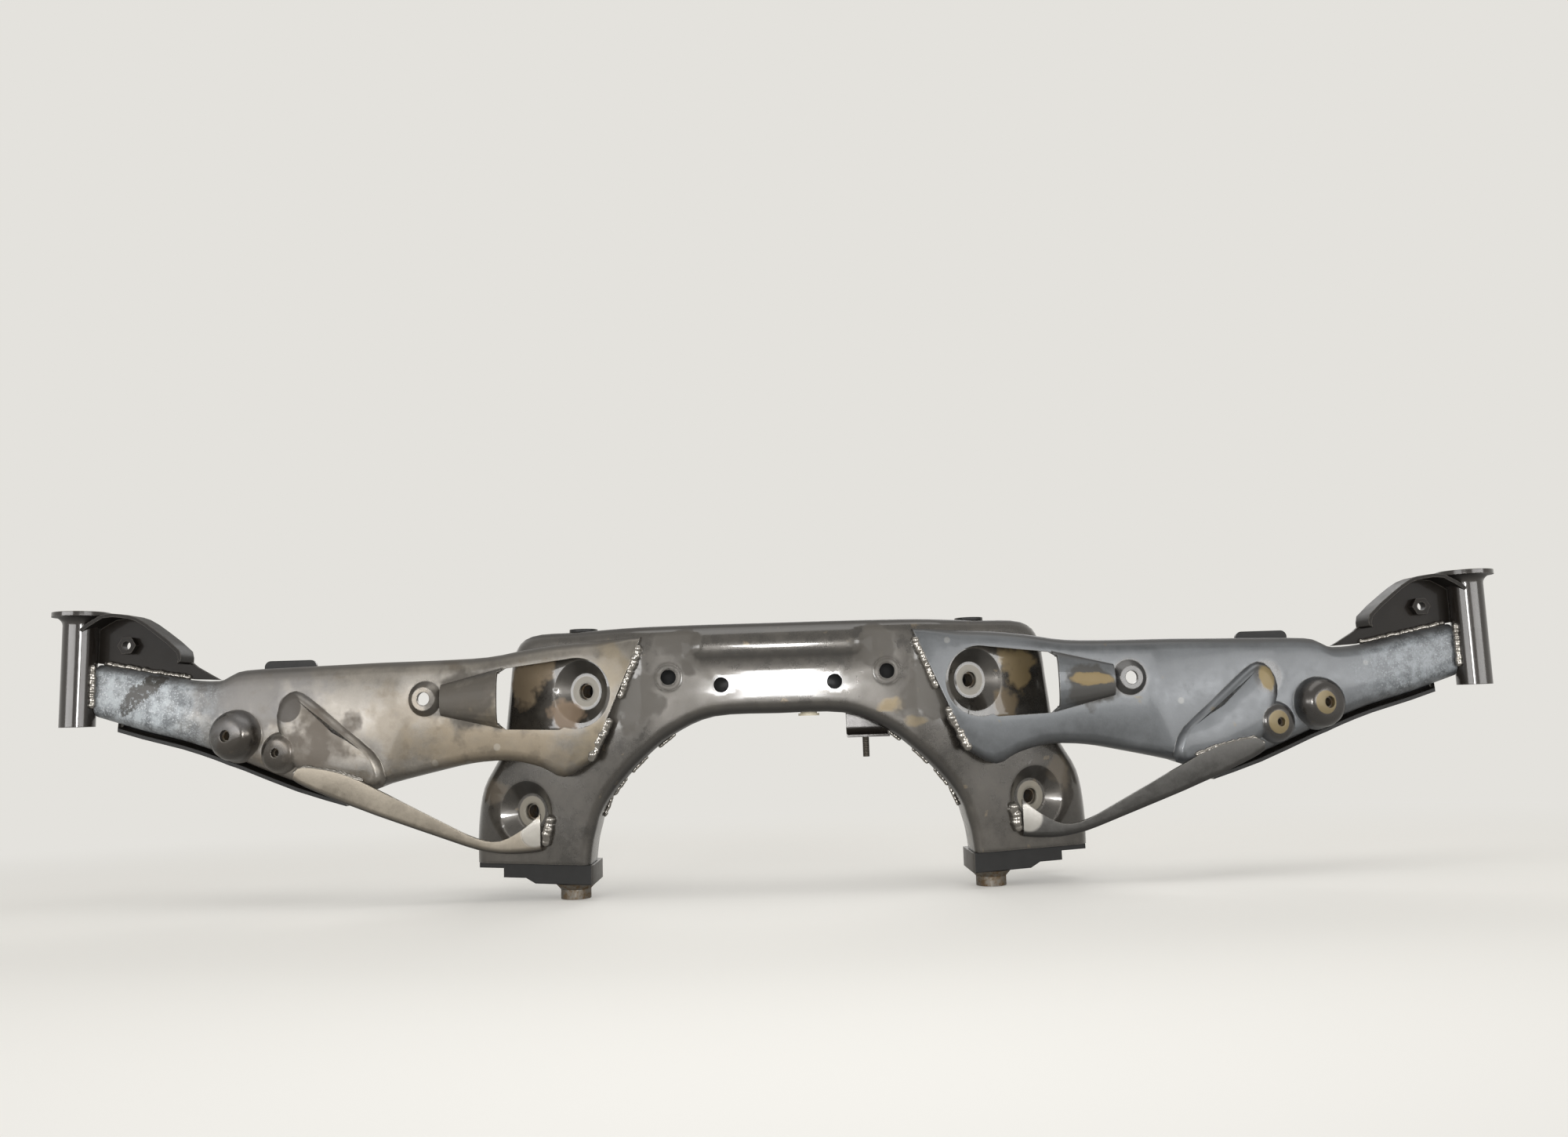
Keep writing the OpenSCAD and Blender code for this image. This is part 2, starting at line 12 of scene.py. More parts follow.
import bpy
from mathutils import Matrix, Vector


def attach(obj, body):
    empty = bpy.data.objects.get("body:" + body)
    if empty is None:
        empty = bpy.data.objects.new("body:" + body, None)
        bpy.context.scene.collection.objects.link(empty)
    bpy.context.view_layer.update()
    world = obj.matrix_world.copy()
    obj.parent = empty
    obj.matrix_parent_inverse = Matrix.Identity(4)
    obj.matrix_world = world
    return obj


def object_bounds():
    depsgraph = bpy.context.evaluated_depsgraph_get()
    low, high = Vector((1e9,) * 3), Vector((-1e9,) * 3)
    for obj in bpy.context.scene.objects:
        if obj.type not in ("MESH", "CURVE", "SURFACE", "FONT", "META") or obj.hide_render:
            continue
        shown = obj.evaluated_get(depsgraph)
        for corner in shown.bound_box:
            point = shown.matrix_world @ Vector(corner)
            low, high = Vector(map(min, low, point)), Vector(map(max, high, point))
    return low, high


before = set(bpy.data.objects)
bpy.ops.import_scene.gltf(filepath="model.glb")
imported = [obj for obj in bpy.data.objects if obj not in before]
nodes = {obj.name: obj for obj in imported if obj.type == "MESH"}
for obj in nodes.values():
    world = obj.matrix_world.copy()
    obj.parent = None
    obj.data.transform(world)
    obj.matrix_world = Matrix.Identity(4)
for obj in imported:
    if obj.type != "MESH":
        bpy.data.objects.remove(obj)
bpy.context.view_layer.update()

# %% [markdown]
# ## Camera
# The photo was taken from about a metre away with a short lens. The camera stands level with the link
# seats and looks up a little, and the frame's long axis rises slightly to the right, so the camera is
# rolled. The lens is worked out from its focal length in pixels and the width of the picture.

# %% Camera
MM = 0.001
IMAGE_W_PX = 2000
FOCAL_PX = 1550
SENSOR_MM = 36
CAMERA_MM = (1.2, -976, -100.7)
CAMERA_TURN_DEG = (97.003, 1.757, -0.164)
bpy.ops.object.select_all(action="DESELECT")
bpy.ops.object.camera_add(
    location=[c * MM for c in CAMERA_MM],
    rotation=[math.radians(a) for a in CAMERA_TURN_DEG],
)
camera = bpy.context.object
camera.name = "photo_camera"
camera.data.sensor_width = SENSOR_MM
camera.data.lens = SENSOR_MM * FOCAL_PX / IMAGE_W_PX
camera.data.clip_start = 10 * MM
bpy.context.scene.camera = camera
print("lens", round(camera.data.lens, 2), "mm")

# %% [markdown]
# ## Nodes and colours
# Colours are written as sRGB hex values, as a paint chart gives them, and one function turns them to the
# linear values that a shader needs. One more small function adds a node with its settings and links.


# %% Helpers for materials
def linear(hex_value):
    """Linear colour, with its alpha, of an sRGB hex value."""
    channels = [int(hex_value[i:i + 2], 16) / 255 for i in (1, 3, 5)]
    return tuple(c / 12.92 if c <= 0.04045 else ((c + 0.055) / 1.055) ** 2.4 for c in channels) + (1.0,)


def add(tree, kind, settings=None, **links):
    """Adds a node. A link's name is its socket's name with _ for a space, or in_N for its number."""
    node = tree.nodes.new(kind)
    for key, value in (settings or {}).items():
        if hasattr(node, key):
            setattr(node, key, value)
        else:
            node.inputs[key].default_value = value
    for name, source in links.items():
        key = int(name[3:]) if name.startswith("in_") else name.replace("_", " ")
        target = node.inputs[key]
        if hasattr(source, "is_linked"):
            tree.links.new(source, target)
        else:
            target.default_value = source
    return node


def new_material(name):
    """A new material, its node tree and its shader."""
    material = bpy.data.materials.new(name)
    material.use_nodes = True
    tree = material.node_tree
    return material, tree, tree.nodes["Principled BSDF"]


# %% [markdown]
# ## Floor and world
# A plain pale floor lies just below the feet, with a pale world all around. The floor keeps the shadow
# under the frame, and further out it fades to the colour of the world, so no horizon shows. Both look
# bright to the camera and in reflections, but light the frame less than that, so the lamps can shape it.

# %% Floor
PALE = "#e4e2dd"
FLOOR_SIZE = 30
FLOOR_GAP_MM = 0.5
SHADOW_OVAL = (0.55, 1, 0)
SHADOW_FADES = {"From Min": 0.3, "From Max": 0.75}
FAR_FLOOR_LIGHT = 0.5
FLOOR_LIFT = 0.3
floor_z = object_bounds()[0][2] - FLOOR_GAP_MM * MM
bpy.ops.object.select_all(action="DESELECT")
bpy.ops.mesh.primitive_plane_add(size=FLOOR_SIZE, location=(0, 0, floor_z))
floor = bpy.context.object
floor.name = "studio_floor"
# Emulsion paint: matt, so it shows a soft shadow and hardly a reflection
floor_paint, tree, shader = new_material("pale_emulsion_paint")
shader.inputs["Base Color"].default_value = linear(PALE)
shader.inputs["Roughness"].default_value = 0.9
shader.inputs["Specular IOR Level"].default_value = 0.1
spot = add(tree, "ShaderNodeTexCoord").outputs["Object"]
oval = add(tree, "ShaderNodeVectorMath", {"operation": "MULTIPLY"}, in_0=spot, in_1=SHADOW_OVAL)
reach = add(tree, "ShaderNodeVectorMath", {"operation": "LENGTH"}, in_0=oval.outputs[0])
fade = add(tree, "ShaderNodeMapRange", {"interpolation_type": "SMOOTHSTEP", **SHADOW_FADES},
           Value=reach.outputs["Value"])
path = add(tree, "ShaderNodeLightPath")
seen = add(tree, "ShaderNodeMath", {"operation": "MAXIMUM"}, in_0=path.outputs["Is Camera Ray"],
           in_1=path.outputs["Is Glossy Ray"])
level = add(tree, "ShaderNodeMapRange", {"To Min": FAR_FLOOR_LIGHT, "To Max": 1.0}, Value=seen.outputs[0])
far = add(tree, "ShaderNodeEmission", {"Color": linear(PALE)}, Strength=level.outputs[0])
glow = add(tree, "ShaderNodeMath", {"operation": "MULTIPLY"}, in_0=path.outputs["Is Camera Ray"],
           in_1=FLOOR_LIFT)
lift = add(tree, "ShaderNodeEmission", {"Color": linear(PALE)}, Strength=glow.outputs[0])
lit = add(tree, "ShaderNodeAddShader", None, in_0=shader.outputs[0], in_1=lift.outputs[0])
joined = add(tree, "ShaderNodeMixShader", None, in_0=fade.outputs[0], in_1=lit.outputs[0],
             in_2=far.outputs[0])
tree.links.new(joined.outputs[0], tree.nodes["Material Output"].inputs["Surface"])
floor.data.materials.append(floor_paint)
print("floor at", round(floor_z / MM, 1), "mm")

# %% World
WORLD_LIGHT = 0.32
world = bpy.data.worlds.new("pale_studio")
bpy.context.scene.world = world
world.use_nodes = True
tree = world.node_tree
background = tree.nodes["Background"]
background.inputs["Color"].default_value = linear(PALE)
path = add(tree, "ShaderNodeLightPath")
seen = add(tree, "ShaderNodeMath", {"operation": "MAXIMUM"}, in_0=path.outputs["Is Camera Ray"],
           in_1=path.outputs["Is Transmission Ray"])
seen = add(tree, "ShaderNodeMath", {"operation": "MAXIMUM"}, in_0=seen.outputs[0],
           in_1=path.outputs["Is Glossy Ray"])
level = add(tree, "ShaderNodeMapRange", {"To Min": WORLD_LIGHT, "To Max": 1.0}, Value=seen.outputs[0])
tree.links.new(level.outputs[0], background.inputs["Strength"])
print("world", world.name)

# %% [markdown]
# ## Lamps
# The photo was lit by a flash beside the lens, so the smallest lamps stand near the camera: the flash
# panel puts the highlight in the middle of the centre face, and a weaker low panel fills in from below it.
# Two wide panels at the sides give the arms their sheen, and one panel above and one behind draw the
# outline.

# %% Lamps
LAMPS = [
    # name, place and aim in metres, width and height in metres, watts
    ("flash_panel", (0.0, -1.05, -0.065), (0, 0, -0.08), 0.18, 0.09, 3.6),
    ("left_panel", (-1.12, -1.20, 0.02), (-0.3, 0, -0.08), 1.15, 0.36, 9.0),
    ("right_panel", (1.12, -1.20, 0.02), (0.3, 0, -0.08), 1.15, 0.36, 8.0),
    ("top_panel", (0.2, -0.4, 1.6), (0, 0, -0.1), 2.0, 0.9, 9.0),
    ("back_panel", (0.3, 1.8, 0.9), (0, 0, -0.1), 1.6, 1.0, 12.0),
    ("low_panel", (0.0, -1.05, -0.165), (0, 0, -0.14), 0.12, 0.11, 1.2),
]
for name, place, aim, width, height, watts in LAMPS:
    bpy.ops.object.light_add(type="AREA", location=place)
    lamp = bpy.context.object
    lamp.name = name
    lamp.data.shape = "RECTANGLE"
    lamp.data.size = width
    lamp.data.size_y = height
    lamp.data.energy = watts
    lamp.visible_camera = False
    toward = [a - p for a, p in zip(aim, place)]
    flat = math.hypot(toward[0], toward[1])
    lamp.rotation_euler = (math.atan2(flat, -toward[2]), 0, math.atan2(-toward[0], toward[1]))
print(len(LAMPS), "lamps")

# %% [markdown]
# ## Smooth pressings
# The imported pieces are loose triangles. A sheet that was pressed over a die has soft folds, but its cut
# edge is sharp. A small geometry node group joins the triangles where they meet, shades everything
# smooth, and keeps an edge sharp where two faces meet at more than 38 degrees. The piece's own mesh stays
# as it was.

# %% Smoothing group
SHARP = math.radians(38)
MERGE_MM = 0.002
group = bpy.data.node_groups.new("soft_folds", "GeometryNodeTree")
group.interface.new_socket("Geometry", in_out="INPUT", socket_type="NodeSocketGeometry")
group.interface.new_socket("Geometry", in_out="OUTPUT", socket_type="NodeSocketGeometry")
group.is_modifier = True
into = add(group, "NodeGroupInput")
merged = add(group, "GeometryNodeMergeByDistance", {"Distance": MERGE_MM * MM}, Geometry=into.outputs[0])
soft = add(group, "GeometryNodeSetShadeSmooth", {"domain": "FACE"}, in_0=merged.outputs[0])
angle = add(group, "GeometryNodeInputMeshEdgeAngle")
sharp = add(group, "FunctionNodeCompare", {"operation": "GREATER_THAN"}, in_0=angle.outputs[0], in_1=SHARP)
crisp = add(group, "GeometryNodeSetShadeSmooth", {"domain": "EDGE"}, in_0=soft.outputs[0],
            in_1=sharp.outputs[0])
crisp.inputs["Shade Smooth"].default_value = False
add(group, "NodeGroupOutput", None, in_0=crisp.outputs[0])
for node in nodes.values():
    modifier = node.modifiers.new("soft_folds", "NODES")
    modifier.node_group = group
print("smoothed", len(nodes), "pieces")

# %% [markdown]
# ## Dipped black coat
# The whole frame was dipped in black electrocoat, a thin epoxy paint with a satin sheen like dark metal.
# Years on a car have left grey-brown road dust on it, tan stains where water stood, and pale dried drops.
# Every pressing has the same paint and only the dirt and the painted light differ. So one function makes
# the coat, and each kind of dirt, painted shade or painted highlight is a short step of it, which lays a
# colour over what is already there.

# %% A new coat and its patterns
SMEAR_MM = 9
RAGGED_MM = 16
SWIRL_MM = 22


def start_coat(name, paint, streak):
    """A material with its paint, no dirt yet, and the patterns that several steps share."""
    material, tree, shader = new_material(name)
    spot = add(tree, "ShaderNodeTexCoord").outputs["Object"]
    place = add(tree, "ShaderNodeVectorMath", {"operation": "MULTIPLY"}, in_0=spot,
                in_1=(1 / MM, 1 / MM, 1 / MM)).outputs[0]
    apart = add(tree, "ShaderNodeSeparateXYZ", None, Vector=place)
    out_by = add(tree, "ShaderNodeMath", {"operation": "ABSOLUTE"}, in_0=apart.outputs[0])
    drawn = add(tree, "ShaderNodeVectorMath", {"operation": "MULTIPLY"}, in_0=place, in_1=(1, 1, streak))
    smears = add(tree, "ShaderNodeTexNoise", {"Scale": 1 / SMEAR_MM, "Detail": 4.0, "Roughness": 0.65},
                 Vector=drawn.outputs[0])
    ragged = add(tree, "ShaderNodeTexNoise", {"Scale": 1 / RAGGED_MM, "Detail": 4.0, "Roughness": 0.55},
                 Vector=place)
    swirl = add(tree, "ShaderNodeTexNoise", {"Scale": 1 / SWIRL_MM, "Detail": 3.0, "Roughness": 0.6},
                Vector=place)
    push = add(tree, "ShaderNodeVectorMath", {"operation": "SUBTRACT"}, in_0=swirl.outputs["Color"],
               in_1=(0.5, 0.5, 0.5))
    return SimpleNamespace(
        material=material, tree=tree, shader=shader,
        place=place, drawn=drawn.outputs[0], out_by=out_by.outputs[0], up=apart.outputs[2],
        smears=smears.outputs[0], ragged=ragged.outputs[0], push=push.outputs[0], grit=None,
        colour=linear(paint), dirt_and_shade=0.0, slick=0.0, end_share=0.0,
    )


# %% Laying over
def near(tree, place, centre_mm, reach_mm, soft_mm):
    """1 inside reach_mm of a point, fading to 0 over soft_mm."""
    gap = add(tree, "ShaderNodeVectorMath", {"operation": "DISTANCE"}, in_0=place, in_1=centre_mm)
    fade = add(tree, "ShaderNodeMapRange", {"interpolation_type": "SMOOTHSTEP",
                                            "From Min": reach_mm + soft_mm, "From Max": reach_mm},
               Value=gap.outputs["Value"])
    return fade.outputs[0]


def tint(coat, mask, colour):
    """Lays a colour over the coat where the mask is 1."""
    mixed = add(coat.tree, "ShaderNodeMix", {"data_type": "RGBA"}, in_0=mask, in_6=coat.colour, in_7=colour)
    coat.colour = mixed.outputs[2]


def lay_dirt_and_shade(coat, mask, hex_value):
    """Lays dust, stains or painted shade of a colour where the mask is 1, rougher and duller than paint."""
    tint(coat, mask, linear(hex_value))
    most = add(coat.tree, "ShaderNodeMath", {"operation": "MAXIMUM"}, in_0=coat.dirt_and_shade, in_1=mask)
    coat.dirt_and_shade = most.outputs[0]


# %% Dust
CLOUD_MM = 70
SPECK_MM = 1.5
SMEAR_PART = 0.4
SPECK_PART = 0.18
DUST_RANGE = {"From Min": 0.62, "From Max": 0.98}


def lay_dust(coat, dust, dust_share):
    """Road dust in wide clouds, broken up by smears and specks."""
    tree = coat.tree
    clouds = add(tree, "ShaderNodeTexNoise", {"Scale": 1 / CLOUD_MM, "Detail": 5.0, "Roughness": 0.6},
                 Vector=coat.drawn)
    specks = add(tree, "ShaderNodeTexNoise", {"Scale": 1 / SPECK_MM, "Detail": 2.0, "Roughness": 0.6},
                 Vector=coat.place)
    both = add(tree, "ShaderNodeMath", {"operation": "MULTIPLY_ADD"}, in_0=coat.smears, in_1=SMEAR_PART,
               in_2=clouds.outputs[0])
    all_three = add(tree, "ShaderNodeMath", {"operation": "MULTIPLY_ADD"}, in_0=specks.outputs[0],
                    in_1=SPECK_PART, in_2=both.outputs[0])
    share = add(tree, "ShaderNodeMapRange", {**DUST_RANGE, "To Max": dust_share},
                Value=all_three.outputs[0])
    lay_dirt_and_shade(coat, share.outputs[0], dust)


# %% [markdown]
# ## Marks of use
# What stands proud is dark and slick, and free of dust, and the pale slick tip of each brace is a painted
# highlight. Water dried to stains with a ragged edge: a noise pushes their places about, so none has a
# round outline, and some ragged patches of the same kind are painted shade. Bolts pressed round, crisp
# rings. Splashes dried to pale drops of about 6 mm. Each mark is given by its centre and reach in
# millimetres, its colour and its strength, so it can be read off the photo and moved by hand.

# %% Wiped spots, stains, rings and drops
SLICK_SPOT_FADE = 0.3
STAIN_PUSH = 1.6
STAIN_CORE = 0.3
STAIN_RAGGED = 1.7
STAIN_LEVEL = 1.38
RING_FADE_MM = 1.0
DROP_CELL_MM = 26
DROP_OUTER = 0.13
DROP_INNER = 0.09
DROP_PICK = 0.78


def lay_slick_and_lit_spots(coat, spots):
    """Slick spots that take the dust away. A dark one darkens; a pale one, as on a brace's tip, is a painted
    highlight.
    """
    tree = coat.tree
    for centre, reach, hex_value, strength in spots:
        mask = near(tree, coat.place, centre, reach, reach * SLICK_SPOT_FADE)
        worn = add(tree, "ShaderNodeMath", {"operation": "MULTIPLY"}, in_0=mask, in_1=strength).outputs[0]
        tint(coat, worn, linear(hex_value))
        coat.slick = add(tree, "ShaderNodeMath", {"operation": "MAXIMUM"}, in_0=coat.slick,
                         in_1=worn).outputs[0]
    coat.dirt_and_shade = add(tree, "ShaderNodeMath", {"operation": "SUBTRACT", "use_clamp": True}, in_0=coat.dirt_and_shade,
                    in_1=coat.slick).outputs[0]


def stain_and_shade(coat, stains_and_shade, soft):
    """Dried puddles, and patches of painted shade. A squeeze below 1 draws one out along X, and soft blurs
    the edge of all.
    """
    tree = coat.tree
    for centre, reach, hex_value, strength, squeeze in stains_and_shade:
        flat = (squeeze, 1, 1)
        pushed = add(tree, "ShaderNodeVectorMath", {"operation": "MULTIPLY_ADD"}, in_0=coat.push,
                     in_1=(reach * STAIN_PUSH, 0, reach * STAIN_PUSH), in_2=coat.place)
        drawn_in = add(tree, "ShaderNodeVectorMath", {"operation": "MULTIPLY"}, in_0=pushed.outputs[0],
                       in_1=flat)
        middle = [c * f for c, f in zip(centre, flat)]
        mask = near(tree, drawn_in.outputs[0], middle, reach * STAIN_CORE, reach * (1 - STAIN_CORE))
        edge = add(tree, "ShaderNodeMath", {"operation": "MULTIPLY_ADD"}, in_0=coat.ragged,
                   in_1=STAIN_RAGGED, in_2=mask)
        cut = add(tree, "ShaderNodeMapRange", {"From Min": STAIN_LEVEL - soft, "To Max": strength,
                                               "From Max": STAIN_LEVEL + soft}, Value=edge.outputs[0])
        lay_dirt_and_shade(coat, cut.outputs[0], hex_value)


def press_rings(coat, rings):
    """Round marks with a crisp edge."""
    for centre, reach, hex_value, strength in rings:
        mask = near(coat.tree, coat.place, centre, reach, RING_FADE_MM)
        worn = add(coat.tree, "ShaderNodeMath", {"operation": "MULTIPLY"}, in_0=mask, in_1=strength)
        lay_dirt_and_shade(coat, worn.outputs[0], hex_value)


def dry_drops(coat, strength):
    """Pale drops in about one cell of five."""
    tree = coat.tree
    cells = add(tree, "ShaderNodeTexVoronoi", {"Scale": 1 / DROP_CELL_MM}, Vector=coat.place)
    drop = add(tree, "ShaderNodeMapRange", {"interpolation_type": "SMOOTHSTEP", "From Min": DROP_OUTER,
                                            "From Max": DROP_INNER, "To Max": strength},
               Value=cells.outputs["Distance"])
    pick = add(tree, "ShaderNodeSeparateColor", None, Color=cells.outputs["Color"])
    kept = add(tree, "ShaderNodeMath", {"operation": "GREATER_THAN"}, in_0=pick.outputs[0], in_1=DROP_PICK)
    shown = add(tree, "ShaderNodeMath", {"operation": "MULTIPLY"}, in_0=drop.outputs[0],
                in_1=kept.outputs[0])
    lay_dirt_and_shade(coat, shown.outputs[0], "#b4b1aa")


# %% [markdown]
# ## Outer end of an arm
# Near the sleeves the coat turns a frosty blue-silver, rougher and duller: the silver is a painted
# reflection, and the grit that sparkles carries painted glints. On the left arm a dark patch crosses it,
# where the paint is gone. Both are masks in the same coat, so no seam shows.

# %% Frosty end and dark patch
# The grit is about 0.5 mm, drawn as 1.5 mm so that it shows
GRIT_MM = 1.5
GRAIN_MM = 2.6
END_FADE_MM = 60
PATCH_PUSH = 2
PATCH_CORE = 0.4
PATCH_GRAIN = 2.2
PATCH_RANGE = {"From Min": 1.7, "From Max": 2.0}
GLINT_RANGE = {"From Min": 0.52, "From Max": 0.7}
MOTTLE_RANGE = {"From Min": 0.42, "From Max": 0.62}


def frost_end(coat, share, from_mm, hex_value):
    """Blue-silver painted reflection with painted glints, from about from_mm out from the middle of the
    frame.
    """
    tree = coat.tree
    grit = add(tree, "ShaderNodeTexNoise", {"Scale": 1 / GRIT_MM, "Detail": 3.0, "Roughness": 0.75},
               Vector=coat.place)
    coat.grit = grit.outputs[0]
    wavy = add(tree, "ShaderNodeMath", {"operation": "MULTIPLY_ADD"}, in_0=coat.ragged, in_1=END_FADE_MM,
               in_2=coat.out_by)
    end = add(tree, "ShaderNodeMapRange", {"interpolation_type": "SMOOTHSTEP", "From Min": from_mm,
                                           "From Max": from_mm + END_FADE_MM, "To Max": share},
              Value=wavy.outputs[0])
    coat.end_share = end.outputs[0]
    # Painted glints on the grit, over a mottled silver painted reflection
    glint = add(tree, "ShaderNodeMapRange", GLINT_RANGE, Value=coat.grit)
    mottle = add(tree, "ShaderNodeMapRange", MOTTLE_RANGE, Value=coat.smears)
    mottled_reflection = add(tree, "ShaderNodeMix", {"data_type": "RGBA"}, in_0=mottle.outputs[0], in_6=linear(hex_value),
               in_7=linear("#a9b0b5"))
    silver = add(tree, "ShaderNodeMix", {"data_type": "RGBA"}, in_0=glint.outputs[0], in_6=mottled_reflection.outputs[2],
                 in_7=linear("#ccd1d5"))
    tint(coat, coat.end_share, silver.outputs[2])


def darken_patch(coat, spots):
    """Overlapping spots where the paint is gone and coarse dark grains show."""
    tree = coat.tree
    speckle = add(tree, "ShaderNodeTexNoise", {"Scale": 1 / GRAIN_MM, "Detail": 3.0, "Roughness": 0.7},
                  Vector=coat.place)
    for centre, reach, hex_value, strength in spots:
        pushed = add(tree, "ShaderNodeVectorMath", {"operation": "MULTIPLY_ADD"}, in_0=coat.push,
                     in_1=(reach * PATCH_PUSH, 0, reach * PATCH_PUSH), in_2=coat.place)
        mask = near(tree, pushed.outputs[0], centre, reach * PATCH_CORE, reach * (1 - PATCH_CORE))
        edge = add(tree, "ShaderNodeMath", {"operation": "MULTIPLY_ADD"}, in_0=speckle.outputs[0],
                   in_1=PATCH_GRAIN, in_2=mask)
        cut = add(tree, "ShaderNodeMapRange", {**PATCH_RANGE, "To Max": strength}, Value=edge.outputs[0])
        tint(coat, cut.outputs[0], linear(hex_value))


# %% [markdown]
# ## Edges, folds and undersides
# Cut edges were rubbed, so the paint on them is thin and pale: a bevel node rounds the normal there, and
# the coat is paler where that normal leaves the true one. Painted shade darkens what faces down, and the
# top folds are painted dark as shade too. A rear panel is painted near black where it faces ahead, as the
# shade inside a box, so its holes look dark.

# %% Edges and sides
RUBBED_MM = 1.1
RUBBED_RANGE = {"From Min": 0.99, "From Max": 0.86, "To Max": 0.35}
FOLD_FADE_MM = 8
# How far a face leans down, up or ahead, as a part of its normal
DOWN = {"From Min": -0.1, "From Max": -0.75}
UP = {"From Min": 0.3, "From Max": 0.8}
AHEAD = {"From Min": -0.3, "From Max": -0.7}


def rub_edges(coat, true_normal):
    """Pale cut edges."""
    tree = coat.tree
    round_edge = add(tree, "ShaderNodeBevel", {"samples": 4, "Radius": RUBBED_MM * MM})
    alike = add(tree, "ShaderNodeVectorMath", {"operation": "DOT_PRODUCT"}, in_0=round_edge.outputs[0],
                in_1=true_normal)
    rub = add(tree, "ShaderNodeMapRange", RUBBED_RANGE, Value=alike.outputs["Value"])
    tint(coat, rub.outputs[0], linear("#8d8880"))


def shade_sides(coat, true_normal, under_shade, crest, crest_from, inner):
    """Painted shade: below, black on folds above the height crest_from, and near black ahead, by inner."""
    tree = coat.tree
    lean = add(tree, "ShaderNodeSeparateXYZ", None, Vector=true_normal)
    # Painted shade on what faces down
    under = add(tree, "ShaderNodeMapRange", {"interpolation_type": "SMOOTHSTEP", **DOWN, "To Max": under_shade},
                Value=lean.outputs[2])
    lay_dirt_and_shade(coat, under.outputs[0], "#1d1b19")
    # Painted shade on the top folds
    above = add(tree, "ShaderNodeMapRange", {"interpolation_type": "SMOOTHSTEP", **UP, "To Max": crest},
                Value=lean.outputs[2])
    at_top = add(tree, "ShaderNodeMapRange",
                 {"From Min": crest_from, "From Max": crest_from + FOLD_FADE_MM}, Value=coat.up)
    fold = add(tree, "ShaderNodeMath", {"operation": "MULTIPLY"}, in_0=above.outputs[0],
               in_1=at_top.outputs[0])
    lay_dirt_and_shade(coat, fold.outputs[0], "#35322f")
    # Near-black painted shade on what faces ahead, inside a box
    ahead = add(tree, "ShaderNodeMapRange", {**AHEAD, "To Max": inner}, Value=lean.outputs[1])
    lay_dirt_and_shade(coat, ahead.outputs[0], "#080706")


# %% [markdown]
# ## Sheen and relief
# Clean coat is smooth and looks half metallic, and dirt makes it rough and dull. A clear gloss lies on
# top, which thick dirt takes away and thin dust hardly does. The relief is in millimetres: orange peel
# from the dip, shallow waves from the press, grit at the arm's end, and a slight crown over the height of
# an arm's face.

# %% Sheen and relief
SMEAR_ROUGH = 0.16
DIRT_ROUGH = 0.62
END_ROUGH = 0.2
SLICK_ROUGH = -0.12
DIRT_METAL = 0.25
END_DULL = 0.7
VEIL_RANGE = {"From Min": 0.35, "From Max": 0.85}
VEIL_LEAVES = 0.1
EPOXY_IOR = 1.52
GLOSS_ROUGH = 0.08
PEEL_MM = 2.0
PEEL_HEIGHT = 0.03
DENT_MM = 55
DENT_HEIGHT = 1.2
GRIT_HEIGHT = 0.25
# The middle line of an arm's face, from its straight stretch out to the sleeve
ARM_MIDDLE = {"From Min": 400, "From Max": 545, "To Min": -90, "To Max": -63}


def set_sheen(coat, shine, metal, gloss, bounce):
    """Roughness, metal and gloss from the paint's own values and the dirt on it."""
    tree, shader = coat.tree, coat.shader
    # The smears are 0.5 on average, so half of their part is taken off first
    rough = add(tree, "ShaderNodeMapRange", {"To Min": shine - SMEAR_ROUGH / 2,
                                             "To Max": DIRT_ROUGH - SMEAR_ROUGH / 2}, Value=coat.dirt_and_shade)
    patchy = add(tree, "ShaderNodeMath", {"operation": "MULTIPLY_ADD"}, in_0=coat.smears, in_1=SMEAR_ROUGH,
                 in_2=rough.outputs[0])
    gritty = add(tree, "ShaderNodeMath", {"operation": "MULTIPLY_ADD"}, in_0=coat.end_share, in_1=END_ROUGH,
                 in_2=patchy.outputs[0])
    polished = add(tree, "ShaderNodeMath", {"operation": "MULTIPLY_ADD"}, in_0=coat.slick, in_1=SLICK_ROUGH,
                   in_2=gritty.outputs[0])
    dull = add(tree, "ShaderNodeMath", {"operation": "MULTIPLY_ADD"}, in_0=coat.end_share, in_1=END_DULL,
               in_2=coat.dirt_and_shade)
    sheen = add(tree, "ShaderNodeMapRange", {"To Min": metal, "To Max": metal * DIRT_METAL},
                Value=dull.outputs[0])
    veil = add(tree, "ShaderNodeMapRange", {**VEIL_RANGE, "To Min": gloss, "To Max": gloss * VEIL_LEAVES},
               Value=coat.dirt_and_shade)
    tree.links.new(coat.colour, shader.inputs["Base Color"])
    tree.links.new(polished.outputs[0], shader.inputs["Roughness"])
    tree.links.new(sheen.outputs[0], shader.inputs["Metallic"])
    tree.links.new(veil.outputs[0], shader.inputs["Coat Weight"])
    shader.inputs["Coat Roughness"].default_value = GLOSS_ROUGH
    shader.inputs["IOR"].default_value = EPOXY_IOR
    shader.inputs["Specular IOR Level"].default_value = bounce


